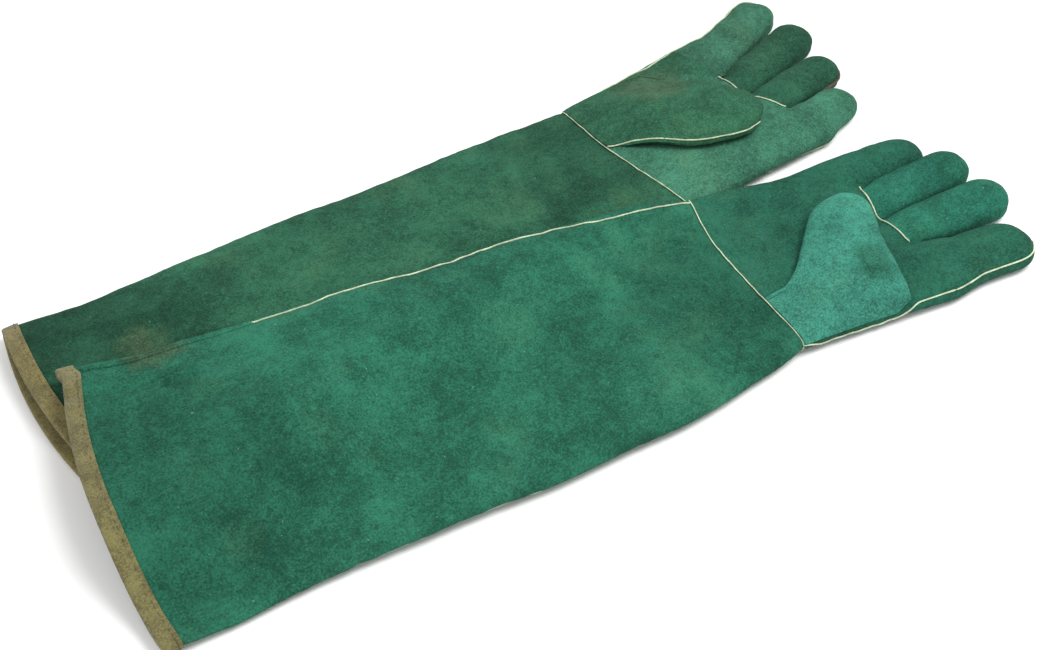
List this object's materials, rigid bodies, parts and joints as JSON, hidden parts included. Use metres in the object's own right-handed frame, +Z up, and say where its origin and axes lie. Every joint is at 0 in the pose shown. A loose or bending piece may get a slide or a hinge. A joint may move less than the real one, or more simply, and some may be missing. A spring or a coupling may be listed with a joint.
{
  "type": "pair of gauntlet gardening gloves",
  "caption": "Pair of long green suede leather gardening gauntlets with welted seams and bound cuffs, laid palms up, one partly on the other.",
  "frame": {"origin": "middle of the table under the pair, at the bottom of its box", "axes": "+X from the cuff mouths to the fingertips, +Y from the right glove to the left one, +Z up out of the table"},
  "size_m": [0.6268, 0.3396, 0.0411],
  "materials": {
    "left_suede_cuff": "split suede, matt nap",
    "left_suede_hand": "split suede, matt nap",
    "left_suede_thumb": "split suede, matt nap",
    "right_suede_cuff": "split suede, matt nap",
    "right_suede_hand": "split suede, matt nap",
    "right_suede_thumb": "split suede, matt nap, lighter",
    "binding": "woven olive-brown tape",
    "welt": "cream welt cord"
  },
  "bodies": {
    "left_cuff": {"left_cuff_front_panel": "left_suede_cuff", "left_cuff_back_panel": "left_suede_cuff", "left_cuff_binding": "binding", "left_cuff_thumb_side_welt": "welt", "left_cuff_little_side_welt": "welt"},
    "left_hand": {"left_palm_panel": "left_suede_hand", "left_hand_back_panel": "left_suede_hand", "left_wrist_welt": "welt", "left_knuckle_welt": "welt", "left_hand_thumb_side_welt": "welt", "left_hand_little_side_welt": "welt"},
    "left_thumb": {"left_thumb_back_panel": "left_suede_thumb", "left_thumb_front_panel": "left_suede_thumb", "left_thumb_welt": "welt"},
    "left_index_finger": {"left_index_finger_front": "left_suede_hand", "left_index_finger_back": "left_suede_hand", "left_index_finger_welt": "welt"},
    "left_middle_finger": {"left_middle_finger_front": "left_suede_hand", "left_middle_finger_back": "left_suede_hand"},
    "left_ring_finger": {"left_ring_finger_front": "left_suede_hand", "left_ring_finger_back": "left_suede_hand"},
    "left_little_finger": {"left_little_finger_front": "left_suede_hand", "left_little_finger_back": "left_suede_hand"},
    "right_cuff": {"right_cuff_front_panel": "right_suede_cuff", "right_cuff_back_panel": "right_suede_cuff", "right_cuff_binding": "binding", "right_cuff_thumb_side_welt": "welt", "right_cuff_little_side_welt": "welt"},
    "right_hand": {"right_palm_panel": "right_suede_hand", "right_hand_back_panel": "right_suede_hand", "right_wrist_welt": "welt", "right_knuckle_welt": "welt", "right_hand_thumb_side_welt": "welt", "right_hand_little_side_welt": "welt"},
    "right_thumb": {"right_thumb_back_panel": "right_suede_thumb", "right_thumb_front_panel": "right_suede_thumb", "right_thumb_welt": "welt"},
    "right_index_finger": {"right_index_finger_front": "right_suede_hand", "right_index_finger_back": "right_suede_hand", "right_index_finger_welt": "welt"},
    "right_middle_finger": {"right_middle_finger_front": "right_suede_hand", "right_middle_finger_back": "right_suede_hand"},
    "right_ring_finger": {"right_ring_finger_front": "right_suede_hand", "right_ring_finger_back": "right_suede_hand"},
    "right_little_finger": {"right_little_finger_front": "right_suede_hand", "right_little_finger_back": "right_suede_hand"}
  },
  "joints": [
    {"name": "right_glove_lift", "type": "slide", "parent": "left_cuff", "child": "right_cuff", "axis": [0, 0, 1], "range_m": [0, 0.25]},
    {"name": "left_wrist_bend", "type": "hinge", "parent": "left_cuff", "child": "left_hand", "pos_m": [0.1065, 0.0547, 0.0211], "axis": [0.0985, -0.9951, 0], "range_deg": [0, 45]},
    {"name": "left_thumb_unfold", "type": "hinge", "parent": "left_hand", "child": "left_thumb", "pos_m": [0.13992, 0.0977, 0.03027], "axis": [-0.676, -0.7369, 0], "range_deg": [0, 150]},
    {"name": "left_index_finger_curl", "type": "hinge", "parent": "left_hand", "child": "left_index_finger", "pos_m": [0.21033, 0.1168, 0.0211], "axis": [0.4171, -0.9089, 0], "range_deg": [0, 60]},
    {"name": "left_middle_finger_curl", "type": "hinge", "parent": "left_hand", "child": "left_middle_finger", "pos_m": [0.22095, 0.08083, 0.0211], "axis": [0.328, -0.9447, 0], "range_deg": [0, 60]},
    {"name": "left_ring_finger_curl", "type": "hinge", "parent": "left_hand", "child": "left_ring_finger", "pos_m": [0.23024, 0.05321, 0.0211], "axis": [0.1848, -0.9828, 0], "range_deg": [0, 60]},
    {"name": "left_little_finger_curl", "type": "hinge", "parent": "left_hand", "child": "left_little_finger", "pos_m": [0.2382, 0.01839, 0.0211], "axis": [0.2529, -0.9675, 0], "range_deg": [0, 60]},
    {"name": "right_wrist_bend", "type": "hinge", "parent": "right_cuff", "child": "right_hand", "pos_m": [0.0975, -0.086, 0.02925], "axis": [-0.0985, -0.9951, 0], "range_deg": [0, 45]},
    {"name": "right_thumb_unfold", "type": "hinge", "parent": "right_hand", "child": "right_thumb", "pos_m": [0.13156, -0.14288, 0.02924], "axis": [0.8754, -0.4834, 0], "range_deg": [0, 150]},
    {"name": "right_index_finger_curl", "type": "hinge", "parent": "right_hand", "child": "right_index_finger", "pos_m": [0.20345, -0.14251, 0.0211], "axis": [-0.1504, -0.9886, 0], "range_deg": [0, 60]},
    {"name": "right_middle_finger_curl", "type": "hinge", "parent": "right_hand", "child": "right_middle_finger", "pos_m": [0.2093, -0.10361, 0.0211], "axis": [-0.1158, -0.9933, 0], "range_deg": [0, 60]},
    {"name": "right_ring_finger_curl", "type": "hinge", "parent": "right_hand", "child": "right_ring_finger", "pos_m": [0.21425, -0.07383, 0.0211], "axis": [0.0061, -1, 0], "range_deg": [0, 60]},
    {"name": "right_little_finger_curl", "type": "hinge", "parent": "right_hand", "child": "right_little_finger", "pos_m": [0.21666, -0.03942, 0.0211], "axis": [-0.0113, -0.9999, 0], "range_deg": [0, 60]}
  ]
}
